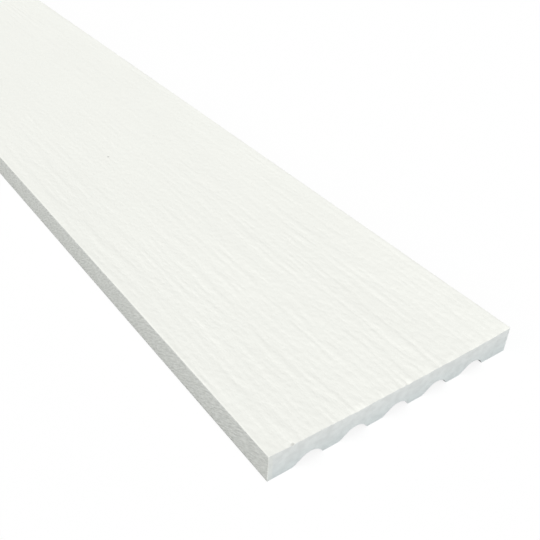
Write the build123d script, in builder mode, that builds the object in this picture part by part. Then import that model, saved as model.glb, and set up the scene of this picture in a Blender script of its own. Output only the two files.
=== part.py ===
"""Fibre cement trim board with a grooved back, lying face up.

One piece of stock: a flat face, square long edges with eased arrises, square sawn
ends, and a back with wave-shaped relief grooves along its whole length. The flat
feet between the grooves are what bears on a wall or a floor.

Frame: +X across the width, +Y along the length, +Z up through the face. The origin
is the middle of the board, on the plane that the feet rest on. Millimetres.
"""

import os
from math import cos, radians, sin, tan

from build123d import *

# Overall sizes: a nominal 1 x 8 board, sold 12 ft long
board_length = 3657.6
board_width = 184.15
board_thickness = 19.05

# Relief grooves in the back. A groove rises along a gentle flank on its left, turns over
# a round crown and falls along a steep flank on its right. Angles are from the feet.
groove_depth = 5.65
crown_radius = 9.5
gentle_angle = radians(34)
steep_angle = radians(57)

# Flat feet. A board is ripped from a wide grooved sheet, so that its grooves lie a
# little off the middle of its width, and its two edge feet aren't equally wide.
foot_width = 11.5
least_edge_foot = 13.5
sheet_offset = -2.1

# Rounded edges along the board
face_arris_radius = 0.5
back_arris_radius = 0.5

# Rounding of the grooves' mouths, where a gentle flank and where a steep flank meets a foot
gentle_edge_radius = 4.0
steep_edge_radius = 0.6

# The round crown touches both flanks, which sets how far it reaches to either side of its top
crown_height = groove_depth - crown_radius
gentle_reach = (crown_radius + crown_height * cos(gentle_angle)) / sin(gentle_angle)
steep_reach = (crown_radius + crown_height * cos(steep_angle)) / sin(steep_angle)
groove_mouth = gentle_reach + steep_reach

# A steep flank is short, and the rounding of its edge keeps within it
steep_flank = (crown_height + crown_radius * cos(steep_angle)) / sin(steep_angle)
steep_edge_limit = 0.9 * steep_flank / tan(steep_angle / 2)

# How many grooves the width holds, and where each of them starts
groove_pitch = groove_mouth + foot_width
edge_feet = 2 * (least_edge_foot + abs(sheet_offset))
groove_count = int((board_width - edge_feet + foot_width) / groove_pitch)
grooved_width = groove_count * groove_pitch - foot_width
first_start = sheet_offset - grooved_width / 2
groove_starts = [first_start + index * groove_pitch for index in range(groove_count)]


def groove_outline(start):
    """Draws one groove from left to right: the gentle flank, the crown's arc and the steep flank."""
    end = start + groove_mouth
    crown_x = start + gentle_reach
    gentle_touch = (
        crown_x - crown_radius * sin(gentle_angle),
        crown_height + crown_radius * cos(gentle_angle),
    )
    steep_touch = (
        crown_x + crown_radius * sin(steep_angle),
        crown_height + crown_radius * cos(steep_angle),
    )
    Line((start, 0), gentle_touch)
    ThreePointArc(gentle_touch, (crown_x, groove_depth), steep_touch)
    Line(steep_touch, (end, 0))


def corner_at(place):
    """The corner of the section that lies on the plane of the feet at this place."""
    return section.vertices().sort_by_distance((place, 0, 0))[0]


with BuildPart() as trim_board:
    with BuildSketch(Plane.XZ) as section:
        with BuildLine():
            foot_start = -board_width / 2
            for groove_start in groove_starts:
                Line((foot_start, 0), (groove_start, 0))
                groove_outline(groove_start)
                foot_start = groove_start + groove_mouth
            Line((foot_start, 0), (board_width / 2, 0))
            Polyline(
                (board_width / 2, 0),
                (board_width / 2, board_thickness),
                (-board_width / 2, board_thickness),
                (-board_width / 2, 0),
            )
        make_face()
        gentle_edges = [corner_at(start) for start in groove_starts]
        fillet(gentle_edges, gentle_edge_radius)
        steep_edges = [corner_at(start + groove_mouth) for start in groove_starts]
        fillet(steep_edges, min(steep_edge_radius, steep_edge_limit))
        outer_corners = section.vertices().group_by(Axis.Y)[0].sort_by(Axis.X)
        fillet([outer_corners[0], outer_corners[-1]], back_arris_radius)
        face_corners = section.vertices().group_by(Axis.Y)[-1]
        fillet(face_corners, face_arris_radius)
    extrude(amount=board_length / 2, both=True)

trim_board.part.label = "trim_board"
os.makedirs("parts", exist_ok=True)
export_step(trim_board.part, "parts/trim_board.step")
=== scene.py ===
"""Fibre cement trim board: its wood-grain face, sawn edges and ends, grooved back, and a pale studio.

One closed surface stands for the plain solid, in the same box: the crests of the grain end a few
hundredths of a millimetre below the face's plane, and everything else lies lower. Metres, in the
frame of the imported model: +X across the width, +Y along the length, +Z up through the face, and the
feet of the back at Z = 0.
"""

import math

import bpy
import numpy as np
from bpy.props import FloatProperty, FloatVectorProperty, IntProperty, PointerProperty
from mathutils import Matrix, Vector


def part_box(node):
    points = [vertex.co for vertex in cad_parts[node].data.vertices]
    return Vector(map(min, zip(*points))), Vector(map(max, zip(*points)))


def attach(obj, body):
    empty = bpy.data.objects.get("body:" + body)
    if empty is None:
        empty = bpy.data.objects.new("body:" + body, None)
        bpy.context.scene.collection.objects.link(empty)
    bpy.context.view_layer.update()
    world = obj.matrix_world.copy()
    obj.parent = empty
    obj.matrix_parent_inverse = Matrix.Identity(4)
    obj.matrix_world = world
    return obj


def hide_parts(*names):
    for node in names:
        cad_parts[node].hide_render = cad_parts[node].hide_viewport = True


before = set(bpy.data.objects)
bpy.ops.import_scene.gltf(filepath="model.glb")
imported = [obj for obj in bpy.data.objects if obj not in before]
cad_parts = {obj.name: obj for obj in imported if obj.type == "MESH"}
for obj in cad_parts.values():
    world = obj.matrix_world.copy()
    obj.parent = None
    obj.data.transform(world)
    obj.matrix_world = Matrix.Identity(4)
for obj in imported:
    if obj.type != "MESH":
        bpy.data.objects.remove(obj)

bl_info = {
    "name": "Fibre Cement Trim Board",
    "version": (1, 0, 0),
    "blender": (4, 5, 0),
    "location": "3D View > Sidebar > Trim Board",
    "description": "Makes a wood-grain fibre cement trim board with a grooved back, and its studio",
    "category": "Add Mesh",
}

MM = 0.001
NODE = "trim_board"
BODY = "root"
LOW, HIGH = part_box(NODE)
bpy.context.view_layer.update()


def srgb(code):
    """Linear red, green and blue of an sRGB hex colour: a straight part near black, then a power."""
    encoded = np.array([int(code[start:start + 2], 16) for start in (1, 3, 5)]) / 255
    low_part = encoded / 12.92
    high_part = ((encoded + 0.055) / 1.055) ** 2.4
    return tuple(float(c) for c in np.where(encoded <= 0.04045, low_part, high_part))


def length_property(name, description, default):
    """A length in metres that the sidebar shows in the scene's own unit."""
    return FloatProperty(name=name, description=description, default=default, unit="LENGTH", precision=5)


def angle_property(name, description, degrees):
    """An angle that the sidebar shows in degrees."""
    return FloatProperty(name=name, description=description, default=math.radians(degrees), unit="ROTATION")


def colour_property(name, description, code):
    """A linear colour whose default is given as sRGB hex."""
    return FloatVectorProperty(
        name=name, description=description, default=srgb(code), subtype="COLOR", min=0, max=1
    )


class BoardSection(bpy.types.PropertyGroup):
    """Sizes of the grooves and of the rounded edges, as they are milled into the stock."""

    groove_depth: length_property("Groove depth", "Height of a groove's crown over the feet", 5.65 * MM)
    crown_radius: length_property("Crown radius", "Radius of a groove's crown", 9.5 * MM)
    gentle_angle: angle_property("Gentle flank", "How steeply a groove rises on its left", 34)
    steep_angle: angle_property("Steep flank", "How steeply a groove falls on its right", 57)
    foot_width: length_property("Foot width", "Flat between two grooves", 11.5 * MM)
    sheet_offset: length_property("Sheet offset", "How far the grooves lie off the board's middle", -2.1 * MM)
    face_arris: length_property("Face arris", "Radius of the face's long edges", 0.5 * MM)
    back_arris: length_property("Back arris", "Radius of the back's long edges", 0.5 * MM)
    gentle_edge: length_property("Gentle foot edge", "Radius where a gentle flank meets a foot", 4.0 * MM)
    steep_edge: length_property("Steep foot edge", "Radius where a steep flank meets a foot", 0.6 * MM)
    groove_count: IntProperty(name="Grooves", description="Grooves over the width", default=5, min=1)


class GrainRelief(bpy.types.PropertyGroup):
    """Sizes of the wood grain that is pressed into the face, and of the wear on it."""

    depth: length_property("Depth", "From the crests to the deepest valleys", 0.5 * MM)
    ridge_width: length_property("Ridge width", "Width of one main ridge", 2.7 * MM)
    ridge_length: length_property("Ridge length", "Length of one main ridge", 52 * MM)
    fibre_width: length_property("Fibre width", "Width of one fine ridge", 1.7 * MM)
    fibre_length: length_property("Fibre length", "Length of one fine ridge", 9 * MM)
    wander: length_property("Wander", "How far a ridge wanders across the board", 2.4 * MM)
    hollow: length_property("Hollow", "How far the middle of the face lies below its edges", 1.6 * MM)
    hollow_skew: FloatProperty(
        name="Hollow skew", description="Share by which the hollow is deeper toward the right", default=0.22
    )
    ragged: length_property("Ragged", "How far the face's rim is chipped away at the most", 0.5 * MM)
    nick: length_property("Nick", "Depth of the knock in the near end's upper edge", 0.6 * MM)
    end_wear: length_property("End wear", "Rounding of the sawn ends' upright corners", 0.35 * MM)


class Finishes(bpy.types.PropertyGroup):
    """Colours of the board's four surfaces."""

    primer: colour_property("Primer", "Factory primer on the face", "#F2F3ED")
    edge: colour_property("Edge", "Primer on the sawn long edges", "#F5F8F2")
    # The ends' colour blends from the lower colour to the higher one: the lower one is darker as painted
    # shade by the floor
    core_shaded_low: colour_property("Core by the feet", "Bare fibre cement of the sawn ends, low down", "#DFE7E7")
    core_high: colour_property("Core by the face", "Bare fibre cement of the sawn ends, high up", "#F3F6F4")
    # The back's grey is partly the cement's own and partly painted shade, as dark as the grooves' deep shade
    back: colour_property("Back", "Sealer on the grooved back", "#6F716C")


class Studio(bpy.types.PropertyGroup):
    """The camera, as it stands to the middle of the near end, and the light."""

    camera_side: length_property("Camera side", "Distance to the left of the board's middle", 252.35 * MM)
    camera_front: length_property("Camera front", "Distance in front of the near end", 196.6 * MM)
    camera_height: length_property("Camera height", "Height over the floor", 316.83 * MM)
    lens: FloatProperty(name="Lens", description="Focal length on a 36 mm sensor", default=51.09)
    shadow_share: FloatProperty(
        name="Shadow share", description="How much of a shadow shows on the floor", default=0.25, min=0, max=1
    )


# How a camera looks from its place: to the right of the board's length, down and with a slight roll
CAMERA_TURN = math.radians(38.041)
CAMERA_DIP = math.radians(35.89)
CAMERA_ROLL = math.radians(-3.523)
CAMERA_SENSOR = 36

# The key lamp: where it lies as seen from the board, how bright a white card shows that faces it,
# and how many degrees wide it looks. Then how brightly the white surround lights the board.
KEY_DIRECTION = (-0.3, -0.44, 0.5)
KEY_STRENGTH = 0.722
KEY_SPREAD = 30
SURROUND_STRENGTH = 0.5

# The floor: how far it reaches, how little it lies under the feet, which keeps the two surfaces
# apart, and its grey to bounced light
FLOOR_REACH = 20.0
FLOOR_GAP = 0.05 * MM
FLOOR_GREY = 0.2

# Rows along the board. END_ROWS of them, at these shares of the end wear, round each end off, and
# the last share is where the middle ones start. Those are a multiple of ROWS_PER_BACK_ROW, and a
# little crowded toward the ends.
END_STEPS = (0, 0.3, 1, 2)
END_ROWS = len(END_STEPS) - 1
ROWS_PER_BACK_ROW = 8
MIDDLE_ROWS = 58 * ROWS_PER_BACK_ROW
ROW_CROWDING = 0.38

# Columns round the section, and points of the arcs in the back's outline
FACE_COLUMNS = 172
EDGE_COLUMNS = 5
ARRIS_COLUMNS = 3
CROWN_POINTS = 9
GENTLE_EDGE_POINTS = 5
STEEP_EDGE_POINTS = 3
BACK_ARRIS_POINTS = 4

# How close to a rounded edge the flat beside it has a row of its own, which keeps its shading flat,
# and how far above the back's arris the long edges have every row
SUPPORT_GAP = 0.5 * MM
FAN_HEIGHT = 1.5 * MM

# The power of a point's share of the half width that keeps an end's wear to its sides
SIDE_POWER = 16

# Widths and lengths of the streaks that bend the grain, and the short ones' share of the bend
LONG_SWAY, SHORT_SWAY = (55 * MM, 110 * MM), (9 * MM, 16 * MM)
SHORT_SWAY_SHARE = 0.2

# Widths and lengths of the parts of the face that are pressed more or less firmly
PATCH, REACH = (13 * MM, 30 * MM), (90 * MM, 260 * MM)

# How firmly they are pressed: the mean, and how far it strays either way
PATCH_PRESS, PATCH_STRAY = 0.75, 0.65
REACH_PRESS, REACH_STRAY = 0.72, 0.38

# The grain: the fibres' height as a share of the ridges', how far the ridges alternate with valleys,
# and how sharply both are squeezed
FIBRE_SHARE = 0.75
RIDGE_TURNS = 0.12
SQUEEZE = 1.5

# Chips in the face's rim, the coarse and the fine ones: the width of a lane, which is far wider than
# the rim, and the length of a chip along it. Then the fine ones' depth as a share, and how far from
# the rim both fade out.
END_CHIPS = (500 * MM, 4.5 * MM), (500 * MM, 1.9 * MM)
EDGE_CHIPS = (100 * MM, 17 * MM), (100 * MM, 6 * MM)
FINE_CHIP_SHARE = 0.6
END_CHIP_FADE = 1.2 * MM
EDGE_CHIP_FADE = 0.6 * MM

# Places of the small dark flaws in the primer, in metres from the middle of the near end's foot:
# a knock in the end's upper edge, and a speck of grit
NICK = (-76.5 * MM, 0.6 * MM, 18.2 * MM)
SPECK = (-17.3 * MM, 327.6 * MM, 17.3 * MM)
NICK_RADIUS = 0.9 * MM

# A flaw's dark spot: as dark as this share of the primer out to the core, and gone at the rim
SPOT_SHADE = 0.6
SPOT_CORE = 0.4 * MM
SPOT_RIM = 1.3 * MM

# The order of the board's materials in its mesh
FACE, EDGE, END, BACK = range(4)


def smooth(share):
    """An S-curve from 0 to 1: three times the square less twice the cube."""
    return share * share * (3 - 2 * share)


def streaks(across, along, width, length, seed, ribbed=0):
    """Random streaks that run along the board, from -1 to 1.

    The board is split into lanes of the given width. A lane holds one random value per length, and
    the whole lane is moved along by a random share, so that no two lanes change at the same place.
    A point takes the S-curve blend of its lane's two values, and then of the two lanes beside it.
    In a ribbed pattern that share of each value is a ridge in one lane and a valley in the next.
    """
    rng = np.random.default_rng(seed)
    start = across.min() - width
    first = along.min() - 2 * length
    lanes = int((across.max() - start) / width) + 3
    knots = int((along.max() - first) / length) + 4
    values = rng.uniform(-1, 1, (lanes, knots))
    turns = np.where(np.arange(lanes) % 2, 1, -1)[:, None]
    values = (1 - ribbed) * values + ribbed * turns
    moved = rng.uniform(0, 1, lanes)
    lane_at = (across - start) / width
    lane = np.floor(lane_at).astype(int)
    knot_at = (along - first) / length

    def lane_value(index):
        place = knot_at + moved[index]
        knot = np.floor(place).astype(int)
        share = smooth(place - knot)
        return values[index, knot] * (1 - share) + values[index, knot + 1] * share

    share = smooth(lane_at - lane)
    return lane_value(lane) * (1 - share) + lane_value(lane + 1) * share


def double_streaks(across, along, coarse, fine, share, seed):
    """Streaks of two sizes: the coarse ones plus a share of the fine ones, which have the next seed.

    Coarse and fine are each a width and a length.
    """
    return streaks(across, along, *coarse, seed) + share * streaks(across, along, *fine, seed + 1)


def dent(across, along, centre, radius):
    """A round dent of depth 1: the exponential of minus half the squared distance, in radii."""
    square = (across - centre[0]) ** 2 + (along - centre[1]) ** 2
    return np.exp(-square / (2 * radius**2))


def rim_chips(across, along, to_end, depth):
    """How far the rim of the face is chipped away: only the higher part of two streaky patterns.

    One runs along the ends, one along the edges at a third of the depth. Each fades out with the
    exponential of minus the squared distance from the rim, over about a millimetre.
    """
    end_chips = double_streaks(along, across, *END_CHIPS, FINE_CHIP_SHARE, seed=31)
    edge_chips = double_streaks(across, along, *EDGE_CHIPS, FINE_CHIP_SHARE, seed=33)
    at_end = np.exp(-((to_end / END_CHIP_FADE) ** 2))
    at_edge = np.exp(-(((HIGH.x - np.abs(across)) / EDGE_CHIP_FADE) ** 2)) / 3
    return depth * (np.clip(end_chips, 0, 1) * at_end + np.clip(edge_chips, 0, 1) * at_edge)


def face_depth(across, along, grain):
    """How far the face lies below its plane at each point.

    Wandering streaks of two sizes, ridges and the lower fibres, are added and squeezed by a
    hyperbolic tangent to a range from 0 to 1, so that the crests keep to one level. Small patches
    and long reaches of the face are pressed less deep. The hollow is 1 less the cube of the share
    of the half width, nought at both edges, and deeper on one side by the skew. The nick is a round
    dent at the near end.
    """
    sway = double_streaks(across, along, LONG_SWAY, SHORT_SWAY, SHORT_SWAY_SHARE, seed=11)
    moved = across + grain.wander * sway
    ridges = streaks(moved, along, grain.ridge_width, grain.ridge_length, seed=21, ribbed=RIDGE_TURNS)
    fibres = streaks(moved, along, grain.fibre_width, grain.fibre_length, seed=22)
    patches = PATCH_PRESS + PATCH_STRAY * streaks(across, along, *PATCH, seed=25)
    reaches = REACH_PRESS + REACH_STRAY * streaks(across, along, *REACH, seed=653)
    height = 0.5 + 0.5 * np.tanh(SQUEEZE * patches * (ridges + FIBRE_SHARE * fibres))
    share = across / HIGH.x
    hollow = grain.hollow * (1 - np.abs(share) ** 3) * (1 + grain.hollow_skew * share)
    nick = dent(across, along, (NICK[0], LOW.y + NICK[1]), NICK_RADIUS)
    return grain.depth * reaches * (1 - height) + np.maximum(hollow, 0) + grain.nick * nick


def arc(centre, radius, first, last, count):
    """Points on a circle, by the angle from straight up, clockwise."""
    angle = np.linspace(first, last, count)
    return np.stack([centre[0] + radius * np.sin(angle), centre[1] + radius * np.cos(angle)], 1)


def flank_reach(section, angle):
    """How far a flank's foot lies to the side of the crown's top.

    The flank's line touches the crown's circle at the flank's angle. It meets the plane of the feet
    at the circle's radius plus its centre's height times the angle's cosine, over the angle's sine.
    """
    centre_height = section.groove_depth - section.crown_radius
    return (section.crown_radius + centre_height * math.cos(angle)) / math.sin(angle)


def groove_line(start, section):
    """Points of one groove, left to right: a rounded foot edge, the crown and a sharper foot edge.

    Both flanks are the straight lines between these arcs.
    """
    rise, fall = section.gentle_angle, section.steep_angle
    crown_x = start + flank_reach(section, rise)
    end = crown_x + flank_reach(section, fall)
    crown = (crown_x, section.groove_depth - section.crown_radius)
    left_centre = (start - section.gentle_edge * math.tan(rise / 2), section.gentle_edge)
    right_centre = (end + section.steep_edge * math.tan(fall / 2), section.steep_edge)
    return np.concatenate([
        arc(left_centre, section.gentle_edge, math.pi, math.pi - rise, GENTLE_EDGE_POINTS),
        arc(crown, section.crown_radius, -rise, fall, CROWN_POINTS),
        arc(right_centre, section.steep_edge, math.pi + fall, math.pi, STEEP_EDGE_POINTS),
    ])


def with_supports(points, gap):
    """Adds a point at this gap from each end of every straight run that is longer than four gaps."""
    before, after = points[:-1], points[1:]
    run = after - before
    size = np.hypot(run[:, 0], run[:, 1])
    step = run / size[:, None] * gap
    long = size > 4 * gap
    rows = np.stack([before, before + step, after - step], 1)
    kept = np.stack([np.ones_like(long), long, long], 1)
    return np.concatenate([rows[kept], points[-1:]])


def back_line(section):
    """The section's lower outline from right to left: an arris, feet and grooves, and an arris."""
    mouth = flank_reach(section, section.gentle_angle) + flank_reach(section, section.steep_angle)
    pitch = mouth + section.foot_width
    first = section.sheet_offset - (section.groove_count * pitch - section.foot_width) / 2
    starts = [first + index * pitch for index in range(section.groove_count)]
    radius = section.back_arris
    left = arc((LOW.x + radius, radius), radius, 1.5 * math.pi, math.pi, BACK_ARRIS_POINTS)
    right = arc((HIGH.x - radius, radius), radius, math.pi, math.pi / 2, BACK_ARRIS_POINTS)
    line = np.concatenate([left, *[groove_line(start, section) for start in starts], right])
    return with_supports(line, SUPPORT_GAP)[::-1]


def face_line(section):
    """The section's upper outline, clockwise: up the left edge, over the face, down the right edge.

    Returns the points, how much each of them looks up, and the material of each column between.
    """
    radius = section.face_arris
    bottom = section.back_arris + FAN_HEIGHT
    top = HIGH.z - radius
    rise = np.linspace(bottom, top - SUPPORT_GAP, EDGE_COLUMNS)
    left = np.stack([np.full(EDGE_COLUMNS, LOW.x), rise], 1)
    left_arris = arc((LOW.x + radius, top), radius, -math.pi / 2, 0, ARRIS_COLUMNS + 1)
    right_arris = arc((HIGH.x - radius, top), radius, 0, math.pi / 2, ARRIS_COLUMNS + 1)
    flat = np.linspace(left_arris[-1], right_arris[0], FACE_COLUMNS + 1)[1:-1]
    points = np.concatenate([left, left_arris, flat, right_arris, left[::-1] * (-1, 1)])
    upward = np.clip((points[:, 1] - top) / radius, 0, 1)
    columns = np.full(len(points) - 1, FACE)
    columns[:EDGE_COLUMNS] = EDGE
    columns[-EDGE_COLUMNS:] = EDGE
    return points, upward, columns


def row_places(wear):
    """Places of the rows along the board, from 0 to its length.

    END_ROWS rows round each end off. Between them a cubic spreads the rows, closer at the ends than
    in the middle: the share from -1 to 1 times one plus the crowding, less its cube times the
    crowding.
    """
    length = HIGH.y - LOW.y
    end = wear * np.array(END_STEPS)
    share = np.linspace(-1, 1, MIDDLE_ROWS + 1)
    spread = (1 + ROW_CROWDING) * share - ROW_CROWDING * share**3
    middle = length / 2 + (length / 2 - end[END_ROWS]) * spread
    return np.concatenate([end[:END_ROWS], middle, length - end[END_ROWS - 1::-1]])


def grid_faces(first, second):
    """Quads between two columns or blocks of vertex numbers, rows along the first axis."""
    return np.stack([first[:-1], second[:-1], second[1:], first[1:]], -1).reshape(-1, 4)


def fans(fine, coarse, leads):
    """Triangles between a fine column and one with every ROWS_PER_BACK_ROW-th row.

    The fine rows of a cell fan out to its lower coarse row in the first half and to its upper one
    in the second, and one more triangle fills the middle. leads is True where the fine column comes
    first round the section.
    """
    count = ROWS_PER_BACK_ROW
    cell = np.arange(len(coarse) - 1)
    step = np.arange(count)
    lower = fine[cell[:, None] * count + step]
    upper = fine[cell[:, None] * count + step + 1]
    tip = np.where(step < count // 2, coarse[:-1, None], coarse[1:, None])
    middle = fine[cell * count + count // 2]
    if leads:
        sides = np.stack([lower, tip, upper], -1)
        fill = np.stack([middle, coarse[:-1], coarse[1:]], -1)
    else:
        sides = np.stack([tip, lower, upper], -1)
        fill = np.stack([coarse[:-1], middle, coarse[1:]], -1)
    return np.concatenate([sides.reshape(-1, 3), fill])


def board_mesh(section, grain):
    """Vertices, faces and material numbers of the board.

    The section's outline is carried along the length, row by row. The face and edges have every
    row, the back only some of them, and fans join the two. Near each end the sides of the outline
    draw in, which rounds the sawn ends' upright corners. The face then sinks by face_depth.
    """
    face, upward, face_columns = face_line(section)
    back = back_line(section)
    places = row_places(grain.end_wear)
    rows = len(places)
    y = LOW.y + places
    to_end = np.minimum(places, places[-1] - places)
    near_rows = np.arange(END_ROWS)
    middle_rows = np.arange(END_ROWS, rows - END_ROWS, ROWS_PER_BACK_ROW)
    back_rows = np.concatenate([near_rows, middle_rows, rows - END_ROWS + near_rows])

    def swept(points, chosen):
        """The outline at the chosen rows, with its sides drawn in by a quarter circle's rise."""
        near = np.clip(1 - to_end[chosen] / grain.end_wear, 0, 1)
        drawn = grain.end_wear * (1 - np.sqrt(1 - near**2))[:, None] / HIGH.x
        x = points[:, 0] * (1 - drawn * (points[:, 0] / HIGH.x) ** SIDE_POWER)
        return x, np.broadcast_to(y[chosen][:, None], x.shape), np.broadcast_to(points[:, 1], x.shape)

    face_x, face_y, face_z = swept(face, np.arange(rows))
    chips = rim_chips(face_x, face_y, to_end[:, None], grain.ragged)
    face_z = face_z - upward * (face_depth(face_x, face_y, grain) + chips)
    back_x, back_y, back_z = swept(back, back_rows)
    face_grid = np.stack([face_x, face_y, face_z], -1)
    back_grid = np.stack([back_x, back_y, back_z], -1)
    vertices = np.concatenate([face_grid.reshape(-1, 3), back_grid.reshape(-1, 3)])

    number = np.arange(len(vertices))
    fine = number[:face_grid[..., 0].size].reshape(face_x.shape)
    coarse = number[face_grid[..., 0].size:].reshape(back_x.shape)
    inner = slice(END_ROWS, -END_ROWS)
    parts = [
        (grid_faces(fine[:, :-1], fine[:, 1:]), np.tile(face_columns, rows - 1)),
        (grid_faces(coarse[:, :-1], coarse[:, 1:]), BACK),
        (fans(fine[inner, -1], coarse[inner, 0], True), EDGE),
        (fans(fine[inner, 0], coarse[inner, -1], False), EDGE),
    ]
    for end in (slice(END_ROWS + 1), slice(-END_ROWS - 1, None)):
        parts.append((grid_faces(fine[end, -1], coarse[end, 0]), EDGE))
        parts.append((grid_faces(coarse[end, -1], fine[end, 0]), EDGE))
    near_ring = np.concatenate([fine[0], coarse[0]])[::-1]
    far_ring = np.concatenate([fine[-1], coarse[-1]])
    parts += [(near_ring[None], END), (far_ring[None], END)]
    faces = [face for block, _ in parts for face in block.tolist()]
    materials = np.concatenate([np.broadcast_to(material, len(block)) for block, material in parts])
    return vertices, faces, materials


def add_node(tree, kind, inputs=None, **settings):
    """Adds a node, sets what it is, and fills or links the inputs that are named."""
    node = tree.nodes.new(kind)
    for name, value in settings.items():
        setattr(node, name, value)
    for name, value in (inputs or {}).items():
        if isinstance(value, bpy.types.NodeSocket):
            tree.links.new(value, node.inputs[name])
        else:
            node.inputs[name].default_value = value
    return node


def per_metre(*millimetres):
    """Scales of a Mapping node that make one unit of a pattern that many millimetres long."""
    return tuple(1 / (size * MM) for size in millimetres)


def shade(colour, factor):
    """A colour times a factor, no brighter than white, and an alpha of 1."""
    return (*np.minimum(np.array(colour) * factor, 1), 1)


def new_material(name):
    """An empty material's node tree, and the object coordinates of what it covers."""
    material = bpy.data.materials.new(name)
    material.use_nodes = True
    tree = material.node_tree
    tree.nodes.clear()
    return material, tree, add_node(tree, "ShaderNodeTexCoord").outputs["Object"]


def primed_grain(finishes):
    """Acrylic primer sprayed on wood-grain fibre cement, baked on: a matt, faintly warm off-white.

    Its sheen is broken by short fibres along the board and by the mottled, open texture of the
    pressed cement, and it is a shade greyer where it lies thin. The nick and a speck of grit show
    dark in it.
    """
    material, tree, place = new_material("primed_wood_grain")
    # Fibres 2.5 mm wide and 9 mm long, and a mottle of 3 by 4.5 mm: real ones are finer, and
    # wouldn't show
    fibre_place = add_node(tree, "ShaderNodeMapping", {"Vector": place, "Scale": per_metre(2.5, 9, 2.5)})
    fibres = add_node(tree, "ShaderNodeTexNoise", {
        "Vector": fibre_place.outputs["Vector"], "Scale": 1, "Detail": 2, "Roughness": 0.5,
    })
    mottle_place = add_node(tree, "ShaderNodeMapping", {"Vector": place, "Scale": per_metre(3, 4.5, 3)})
    mottle = add_node(tree, "ShaderNodeTexNoise", {
        "Vector": mottle_place.outputs["Vector"], "Scale": 1, "Detail": 2, "Roughness": 0.5,
    })
    cloud_place = add_node(tree, "ShaderNodeMapping", {"Vector": place, "Scale": per_metre(40, 70, 40)})
    clouds = add_node(tree, "ShaderNodeTexNoise", {"Vector": cloud_place.outputs["Vector"], "Scale": 1})
    coat = add_node(tree, "ShaderNodeMix", {
        0: clouds.outputs["Fac"], 6: shade(finishes.primer, 0.985), 7: shade(finishes.primer, 1.02),
    }, data_type="RGBA")
    colour = coat.outputs[2]
    # The colour is darker round the nick and round the speck
    for flaw in (NICK, SPECK):
        centre = (flaw[0], LOW.y + flaw[1], flaw[2])
        away = add_node(tree, "ShaderNodeVectorMath", {0: place, 1: centre}, operation="DISTANCE")
        darkening = add_node(tree, "ShaderNodeMapRange", {
            "Value": away.outputs["Value"], "From Min": SPOT_CORE, "From Max": SPOT_RIM,
            "To Min": SPOT_SHADE,
        })
        darkened = add_node(
            tree, "ShaderNodeVectorMath", {0: colour, "Scale": darkening.outputs["Result"]}, operation="SCALE"
        )
        colour = darkened.outputs["Vector"]
    rough = add_node(tree, "ShaderNodeBump", {
        "Height": mottle.outputs["Fac"], "Strength": 1, "Distance": 0.36 * MM,
    })
    bump = add_node(tree, "ShaderNodeBump", {
        "Height": fibres.outputs["Fac"], "Strength": 1, "Distance": 0.2 * MM,
        "Normal": rough.outputs["Normal"],
    })
    shader = add_node(tree, "ShaderNodeBsdfPrincipled", {
        "Base Color": colour, "Roughness": 0.65, "IOR": 1.48, "Normal": bump.outputs["Normal"],
    })
    add_node(tree, "ShaderNodeOutputMaterial", {"Surface": shader.outputs["BSDF"]})
    return material


def primed_edge(finishes):
    """The sawn long edge under a coat of primer, a shade darker toward the back.

    Grey, dry marks of the saw slant over it: going away from the near end, they fall to the feet.
    """
    material, tree, place = new_material("primed_sawn_edge")
    # Marks 6 mm long and 1 mm apart, and a mottle of 2 by 3 mm
    slant = add_node(tree, "ShaderNodeMapping", {"Vector": place, "Rotation": (math.radians(33), 0, 0)})
    mark_place = add_node(
        tree, "ShaderNodeMapping", {"Vector": slant.outputs["Vector"], "Scale": per_metre(2, 6, 1)}
    )
    marks = add_node(tree, "ShaderNodeTexNoise", {
        "Vector": mark_place.outputs["Vector"], "Scale": 1, "Detail": 3, "Roughness": 0.6,
    })
    mottle_place = add_node(
        tree, "ShaderNodeMapping", {"Vector": slant.outputs["Vector"], "Scale": per_metre(2, 3, 1.6)}
    )
    mottle = add_node(tree, "ShaderNodeTexNoise", {
        "Vector": mottle_place.outputs["Vector"], "Scale": 1, "Detail": 3, "Roughness": 0.6,
    })
    dryness = add_node(tree, "ShaderNodeMapRange", {
        "Value": marks.outputs["Fac"], "From Min": 0.36, "From Max": 0.64,
    })
    streaky = add_node(tree, "ShaderNodeMix", {
        0: dryness.outputs["Result"], 6: shade(finishes.edge, 0.86), 7: shade(finishes.edge, 1.07),
    }, data_type="RGBA")
    height = add_node(tree, "ShaderNodeSeparateXYZ", {"Vector": place})
    darker_low = add_node(tree, "ShaderNodeMapRange", {
        "Value": height.outputs["Z"], "From Max": HIGH.z, "To Min": 0.945, "To Max": 1.02,
    })
    colour = add_node(tree, "ShaderNodeVectorMath", {
        0: streaky.outputs[2], "Scale": darker_low.outputs["Result"],
    }, operation="SCALE")
    rough = add_node(tree, "ShaderNodeBump", {
        "Height": mottle.outputs["Fac"], "Strength": 1, "Distance": 0.3 * MM,
    })
    bump = add_node(tree, "ShaderNodeBump", {
        "Height": marks.outputs["Fac"], "Strength": 1, "Distance": 0.5 * MM,
        "Normal": rough.outputs["Normal"],
    })
    shader = add_node(tree, "ShaderNodeBsdfPrincipled", {
        "Base Color": colour.outputs["Vector"], "Roughness": 0.8, "IOR": 1.48,
        "Normal": bump.outputs["Normal"],
    })
    add_node(tree, "ShaderNodeOutputMaterial", {"Surface": shader.outputs["BSDF"]})
    return material


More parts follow.
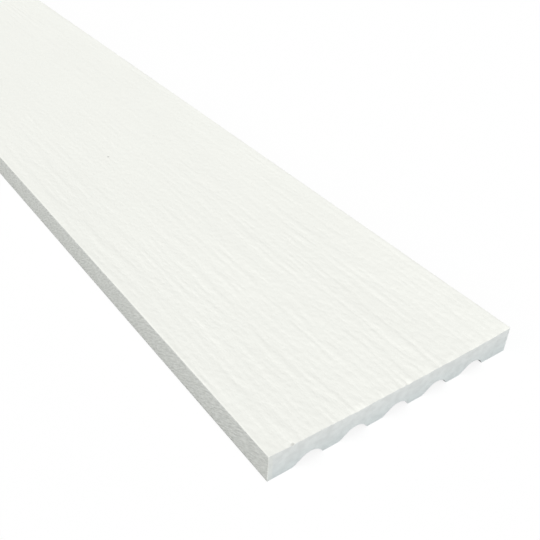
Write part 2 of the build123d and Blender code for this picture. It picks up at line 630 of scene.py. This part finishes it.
def sawn_core(finishes):
    """Fibre cement sawn dry: a cool pale grey, chalky. It is painted darker toward the feet and lighter
    toward the face, as painted shade near the floor, and a painted highlight lightens a strip by its left
    corner.
    """
    material, tree, place = new_material("sawn_fibre_cement")
    height = add_node(tree, "ShaderNodeSeparateXYZ", {"Vector": place})
    # Painted shade: the end's colour lightens from the feet up to the face
    rise = add_node(tree, "ShaderNodeMapRange", {"Value": height.outputs["Z"], "From Max": HIGH.z})
    core = add_node(tree, "ShaderNodeMix", {
        0: rise.outputs["Result"], 6: (*finishes.core_shaded_low, 1), 7: (*finishes.core_high, 1),
    }, data_type="RGBA")
    # A mottle of about 5 mm, and grit of 0.8 mm: real sand grains are finer, and wouldn't show
    mottle_place = add_node(tree, "ShaderNodeMapping", {"Vector": place, "Scale": per_metre(5, 5, 4)})
    mottle = add_node(tree, "ShaderNodeTexNoise", {
        "Vector": mottle_place.outputs["Vector"], "Scale": 1, "Detail": 3, "Roughness": 0.5,
    })
    cloudy = add_node(tree, "ShaderNodeMapRange", {
        "Value": mottle.outputs["Fac"], "From Min": 0.35, "From Max": 0.65, "To Min": 0.95, "To Max": 1.05,
    })
    # Within 3 mm of the left corner the end is mixed toward the edge's primer colour: a painted highlight
    # where the corner catches the light
    run = add_node(tree, "ShaderNodeMapRange", {
        "Value": height.outputs["X"], "From Min": LOW.x + 2.5 * MM, "From Max": LOW.x + 3.5 * MM,
        "To Min": 0.4, "To Max": 0,
    })
    core_with_painted_light = add_node(tree, "ShaderNodeMix", {
        0: run.outputs["Result"], 6: core.outputs[2], 7: (*finishes.edge, 1),
    }, data_type="RGBA")
    colour = add_node(tree, "ShaderNodeVectorMath", {
        0: core_with_painted_light.outputs[2], "Scale": cloudy.outputs["Result"],
    }, operation="SCALE")
    grit_place = add_node(tree, "ShaderNodeMapping", {"Vector": place, "Scale": per_metre(0.8, 0.8, 0.8)})
    grit = add_node(tree, "ShaderNodeTexNoise", {"Vector": grit_place.outputs["Vector"], "Scale": 1})
    bump = add_node(tree, "ShaderNodeBump", {
        "Height": grit.outputs["Fac"], "Strength": 1, "Distance": 0.06 * MM,
    })
    shader = add_node(tree, "ShaderNodeBsdfPrincipled", {
        "Base Color": colour.outputs["Vector"], "Roughness": 0.9, "IOR": 1.5,
        "Normal": bump.outputs["Normal"],
    })
    add_node(tree, "ShaderNodeOutputMaterial", {"Surface": shader.outputs["BSDF"]})
    return material


def sealed_back_and_shade(finishes):
    """The planed and grooved back under a clear sealer: grey cement with cutter lines along it, painted
    darker than the cement as the deep shade inside the grooves.
    """
    material, tree, place = new_material("grooved_back_and_painted_shade")
    # Cutter lines 0.7 mm apart and 60 mm long
    line_place = add_node(tree, "ShaderNodeMapping", {"Vector": place, "Scale": per_metre(0.7, 60, 0.7)})
    lines = add_node(tree, "ShaderNodeTexNoise", {"Vector": line_place.outputs["Vector"], "Scale": 1})
    colour = add_node(tree, "ShaderNodeMix", {
        0: lines.outputs["Fac"], 6: shade(finishes.back, 0.92), 7: shade(finishes.back, 1.05),
    }, data_type="RGBA")
    bump = add_node(tree, "ShaderNodeBump", {
        "Height": lines.outputs["Fac"], "Strength": 1, "Distance": 0.08 * MM,
    })
    shader = add_node(tree, "ShaderNodeBsdfPrincipled", {
        "Base Color": colour.outputs[2], "Roughness": 0.75, "IOR": 1.48, "Normal": bump.outputs["Normal"],
    })
    add_node(tree, "ShaderNodeOutputMaterial", {"Surface": shader.outputs["BSDF"]})
    return material


class TRIM_OT_board(bpy.types.Operator):
    """Makes the board's surface and its four finishes"""

    bl_idname = "trim.board"
    bl_label = "Trim board"

    def execute(self, context):
        settings = context.scene
        vertices, faces, materials = board_mesh(settings.trim_section, settings.trim_grain)
        mesh = bpy.data.meshes.new("fibre_cement_board")
        mesh.from_pydata(vertices.tolist(), [], faces)
        for make in (primed_grain, primed_edge, sawn_core, sealed_back_and_shade):
            mesh.materials.append(make(settings.trim_finishes))
        mesh.polygons.foreach_set("material_index", materials.astype(np.int32))
        mesh.polygons.foreach_set("use_smooth", materials != END)
        mesh.update()
        if mesh.validate():
            raise RuntimeError("the board's mesh has faults")
        board = bpy.data.objects.new("fibre_cement_board", mesh)
        context.scene.collection.objects.link(board)
        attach(board, BODY)
        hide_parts(NODE)
        return {"FINISHED"}


def add_sun(name, direction, strength, spread):
    """A lamp far off in the given direction. A white card that faces it shows at its strength."""
    lamp = bpy.data.lights.new(name, "SUN")
    lamp.energy = strength * math.pi
    lamp.angle = math.radians(spread)
    sun = bpy.data.objects.new(name, lamp)
    away = np.array(direction) / np.linalg.norm(direction)
    side = np.cross((0, 1, 0), away)
    side /= np.linalg.norm(side)
    up = np.cross(away, side)
    sun.matrix_world = Matrix(np.stack([side, up, away], 1).tolist()).to_4x4()
    bpy.context.scene.collection.objects.link(sun)


def add_camera(studio):
    """A camera that looks as CAMERA_TURN, CAMERA_DIP and CAMERA_ROLL say, from its place."""
    turn, dip, roll = CAMERA_TURN, CAMERA_DIP, CAMERA_ROLL
    ahead = np.array([math.sin(turn) * math.cos(dip), math.cos(turn) * math.cos(dip), -math.sin(dip)])
    level = np.array([math.cos(turn), -math.sin(turn), 0])
    down = np.cross(ahead, level)
    right = math.cos(roll) * level + math.sin(roll) * down
    below = -math.sin(roll) * level + math.cos(roll) * down
    place = (-studio.camera_side, LOW.y - studio.camera_front, studio.camera_height)
    data = bpy.data.cameras.new("camera")
    data.sensor_width = CAMERA_SENSOR
    data.lens = studio.lens
    data.clip_start = 10 * MM
    camera = bpy.data.objects.new("camera", data)
    turned = Matrix(np.stack([right, -below, -ahead], 1).tolist()).to_4x4()
    camera.matrix_world = Matrix.Translation(place) @ turned
    bpy.context.scene.collection.objects.link(camera)
    bpy.context.scene.camera = camera


def studio_floor(share):
    """White paper to the camera, with a share of the real shadow, and mid grey to bounced light."""
    material, tree, _ = new_material("paper_floor")
    ray = add_node(tree, "ShaderNodeLightPath").outputs["Is Camera Ray"]
    seen = add_node(tree, "ShaderNodeMath", {0: ray, 1: 1 - share}, operation="MULTIPLY").outputs[0]
    grey = (FLOOR_GREY, FLOOR_GREY, FLOOR_GREY, 1)
    paper = add_node(tree, "ShaderNodeMix", {0: ray, 6: grey, 7: (1, 1, 1, 1)}, data_type="RGBA")
    card = add_node(tree, "ShaderNodeBsdfDiffuse", {"Color": paper.outputs[2]}).outputs["BSDF"]
    glow = add_node(tree, "ShaderNodeEmission", {"Color": (1, 1, 1, 1), "Strength": 1}).outputs["Emission"]
    mixed = add_node(tree, "ShaderNodeMixShader", {0: seen, 1: card, 2: glow}).outputs["Shader"]
    add_node(tree, "ShaderNodeOutputMaterial", {"Surface": mixed})
    return material


def white_world(ambient):
    """A white surround to the camera, and a dimmer one that lights the board evenly."""
    world = bpy.data.worlds.new("white_surround")
    world.use_nodes = True
    tree = world.node_tree
    tree.nodes.clear()
    path = add_node(tree, "ShaderNodeLightPath")
    sharp = add_node(
        tree, "ShaderNodeMath", {0: path.outputs["Is Camera Ray"], 1: path.outputs["Is Glossy Ray"]},
        operation="MAXIMUM",
    ).outputs[0]
    level = add_node(
        tree, "ShaderNodeMapRange", {"Value": sharp, "To Min": ambient, "To Max": 1}
    ).outputs["Result"]
    light = add_node(tree, "ShaderNodeBackground", {"Color": (1, 1, 1, 1), "Strength": level})
    add_node(tree, "ShaderNodeOutputWorld", {"Surface": light.outputs["Background"]})
    bpy.context.scene.world = world


class TRIM_OT_studio(bpy.types.Operator):
    """Makes the floor, the surround, the lamp and the camera"""

    bl_idname = "trim.studio"
    bl_label = "Studio"

    def execute(self, context):
        studio = context.scene.trim_studio
        turns = ((-1, -1), (1, -1), (1, 1), (-1, 1))
        corners = [(x * FLOOR_REACH, y * FLOOR_REACH, LOW.z - FLOOR_GAP) for x, y in turns]
        mesh = bpy.data.meshes.new("floor")
        mesh.from_pydata(corners, [], [(0, 1, 2, 3)])
        mesh.materials.append(studio_floor(studio.shadow_share))
        floor = bpy.data.objects.new("floor", mesh)
        context.scene.collection.objects.link(floor)
        white_world(SURROUND_STRENGTH)
        add_sun("key_lamp", KEY_DIRECTION, KEY_STRENGTH, KEY_SPREAD)
        add_camera(studio)
        context.scene.view_settings.view_transform = "Standard"
        return {"FINISHED"}


class TRIM_PT_panel(bpy.types.Panel):
    """Sizes, colours and steps of the trim board"""

    bl_label = "Trim Board"
    bl_idname = "TRIM_PT_panel"
    bl_space_type = "VIEW_3D"
    bl_region_type = "UI"
    bl_category = "Trim Board"

    def draw(self, context):
        for group in GROUPS:
            box = self.layout.box()
            settings = getattr(context.scene, group)
            for name in settings.bl_rna.properties.keys():
                if name not in ("rna_type", "name"):
                    box.prop(settings, name)
        for operator in OPERATORS:
            self.layout.operator(operator.bl_idname)


GROUPS = {
    "trim_section": BoardSection,
    "trim_grain": GrainRelief,
    "trim_finishes": Finishes,
    "trim_studio": Studio,
}
OPERATORS = (TRIM_OT_board, TRIM_OT_studio)


def register():
    for kind in (*GROUPS.values(), *OPERATORS, TRIM_PT_panel):
        bpy.utils.register_class(kind)
    for name, kind in GROUPS.items():
        setattr(bpy.types.Scene, name, PointerProperty(type=kind))


def unregister():
    for name in GROUPS:
        delattr(bpy.types.Scene, name)
    for kind in reversed((*GROUPS.values(), *OPERATORS, TRIM_PT_panel)):
        bpy.utils.unregister_class(kind)


def main():
    register()
    bpy.ops.trim.board()
    bpy.ops.trim.studio()


if __name__ == "__main__":
    main()
